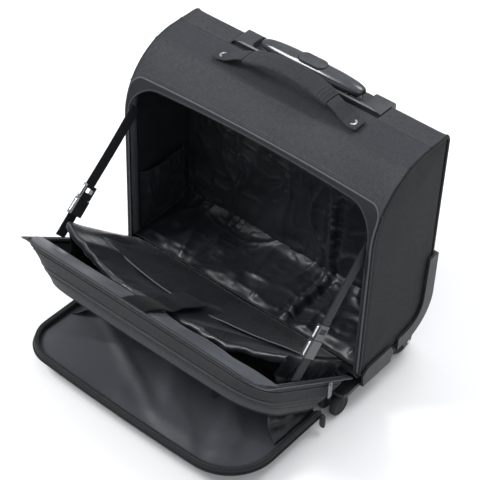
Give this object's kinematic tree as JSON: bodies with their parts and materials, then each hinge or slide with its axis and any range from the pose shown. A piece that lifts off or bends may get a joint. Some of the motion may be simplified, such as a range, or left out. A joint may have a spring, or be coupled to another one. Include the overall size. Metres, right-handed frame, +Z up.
{
  "type": "rolling flight case",
  "caption": "Upright wheeled case with a drop-down front door on side stays, an open front pocket, a carry handle and a telescopic trolley handle.",
  "frame": {"origin": "centre of the bounding box on the floor under the wheels", "axes": "+X to the right seen from the front, +Y towards the back panel, +Z up"},
  "size_m": [0.441, 0.4078, 0.432],
  "materials": {
    "shell_fabric": "dense black ballistic weave",
    "side_fabric": "dense black weave",
    "lining_nylon": "thin satin nylon",
    "dark_nylon": "thin satin nylon",
    "webbing": "woven black webbing and zip tape",
    "plastic": "fine grained black plastic",
    "grip_plastic": "polished dark grey plastic",
    "wheel_rubber": "black rubber",
    "steel": "plated steel",
    "aluminium": "drawn tube"
  },
  "bodies": {
    "case": {"back_panel": "shell_fabric", "bottom_panel": "side_fabric", "top_panel": "shell_fabric", "front_top_panel": "shell_fabric", "lining": "lining_nylon", "zip_tape_shell": "webbing", "inner_band": "webbing", "band_slide": "steel", "base_moulding": "plastic", "handle_bezel": "plastic", "side_panel_left": "side_fabric", "side_panel_right": "side_fabric", "piping_left": "webbing", "piping_right": "webbing", "side_pocket_left": "lining_nylon", "side_pocket_right": "lining_nylon", "rear_guard_left": "plastic", "rear_guard_right": "plastic", "rear_axle_left": "steel", "rear_axle_right": "steel", "outer_tube_left": "aluminium", "outer_tube_right": "aluminium", "rivet_left": "steel", "rivet_right": "steel", "carry_webbing_left": "webbing", "carry_webbing_right": "webbing", "stay_upper_left": "webbing", "stay_upper_right": "webbing"},
    "rear_wheel_left": {"rear_wheel_left": "wheel_rubber"},
    "rear_wheel_right": {"rear_wheel_right": "wheel_rubber"},
    "caster_left": {"caster_housing_left": "plastic"},
    "caster_right": {"caster_housing_right": "plastic"},
    "caster_wheels_left": {"caster_wheels_left": "wheel_rubber"},
    "caster_wheels_right": {"caster_wheels_right": "wheel_rubber"},
    "trolley_middle": {"middle_tube_left": "aluminium", "middle_tube_right": "aluminium"},
    "trolley_top": {"inner_tube_left": "aluminium", "inner_tube_right": "aluminium", "trolley_grip": "grip_plastic"},
    "trolley_button": {"trolley_button": "plastic"},
    "carry_handle": {"carry_grip": "shell_fabric"},
    "door": {"door_panel": "shell_fabric", "door_gusset": "side_fabric", "zip_tape_door": "webbing", "organizer_panel": "dark_nylon", "organizer_pocket": "lining_nylon", "hook_strap": "webbing", "stay_lower_left": "webbing", "stay_lower_right": "webbing", "buckle_socket_left": "plastic", "buckle_socket_right": "plastic", "flap_gusset_left": "lining_nylon", "flap_gusset_right": "lining_nylon"},
    "flap": {"flap_panel": "shell_fabric", "flap_rim": "webbing"},
    "buckle_left": {"buckle_plug_left": "plastic"},
    "buckle_right": {"buckle_plug_right": "plastic"},
    "main_zip_pull": {"main_zip_pull": "steel"},
    "pocket_zip_pull": {"pocket_zip_pull": "steel"}
  },
  "joints": [
    {"name": "door_hinge", "type": "hinge", "parent": "case", "child": "door", "pos_m": [0, 0.03687, 0.061], "axis": [-1, 0, 0], "range_deg": [0, 55], "deforming": ["stay_upper_left", "stay_upper_right"]},
    {"name": "flap_hinge", "type": "hinge", "parent": "door", "child": "flap", "pos_m": [0, -0.01671, 0.03504], "axis": [-1, 0, 0], "range_deg": [0, 34], "deforming": ["flap_gusset_left", "flap_gusset_right"]},
    {"name": "buckle_release_left", "type": "slide", "parent": "door", "child": "buckle_left", "axis": [0, 0.7619, 0.6476], "range_m": [0, 0.024]},
    {"name": "buckle_release_right", "type": "slide", "parent": "door", "child": "buckle_right", "axis": [0, 0.7037, 0.7105], "range_m": [0, 0.024]},
    {"name": "trolley_stage_1", "type": "slide", "parent": "case", "child": "trolley_middle", "axis": [0, 0, 1], "range_m": [0, 0.21]},
    {"name": "trolley_stage_2", "type": "slide", "parent": "trolley_middle", "child": "trolley_top", "axis": [0, 0, 1], "range_m": [0, 0.21]},
    {"name": "trolley_button_press", "type": "slide", "parent": "trolley_top", "child": "trolley_button", "axis": [0, 0, -1], "range_m": [0, 0.003], "stiffness_N_per_m": 150},
    {"name": "carry_handle_tilt", "type": "hinge", "parent": "case", "child": "carry_handle", "pos_m": [0, 0.12887, 0.397], "axis": [1, 0, 0], "range_deg": [-12, 35], "deforming": ["carry_webbing_left", "carry_webbing_right"]},
    {"name": "caster_swivel_left", "type": "hinge", "parent": "case", "child": "caster_left", "pos_m": [-0.192, 0.03287, 0.036], "axis": [0, 0, 1], "continuous": true},
    {"name": "caster_spin_left", "type": "hinge", "parent": "caster_left", "child": "caster_wheels_left", "pos_m": [-0.192, 0.01887, 0.017], "axis": [1, 0, 0], "continuous": true},
    {"name": "rear_spin_left", "type": "hinge", "parent": "case", "child": "rear_wheel_left", "pos_m": [-0.19, 0.17287, 0.027], "axis": [1, 0, 0], "continuous": true},
    {"name": "caster_swivel_right", "type": "hinge", "parent": "case", "child": "caster_right", "pos_m": [0.192, 0.03287, 0.036], "axis": [0, 0, 1], "continuous": true},
    {"name": "caster_spin_right", "type": "hinge", "parent": "caster_right", "child": "caster_wheels_right", "pos_m": [0.192, 0.01887, 0.017], "axis": [1, 0, 0], "continuous": true},
    {"name": "rear_spin_right", "type": "hinge", "parent": "case", "child": "rear_wheel_right", "pos_m": [0.19, 0.17287, 0.027], "axis": [1, 0, 0], "continuous": true},
    {"name": "main_zip_pull_swing", "type": "hinge", "parent": "door", "child": "main_zip_pull", "pos_m": [0.2175, -0.02913, 0.108], "axis": [0, -1, 0], "range_deg": [0, 80]},
    {"name": "pocket_zip_pull_swing", "type": "hinge", "parent": "door", "child": "pocket_zip_pull", "pos_m": [0.208, -0.02513, 0.035], "axis": [1, 0, 0], "range_deg": [-30, 60]}
  ],
  "couplings": [
    {"joint": "trolley_stage_2", "follows": "trolley_stage_1", "ratio": 1}
  ]
}
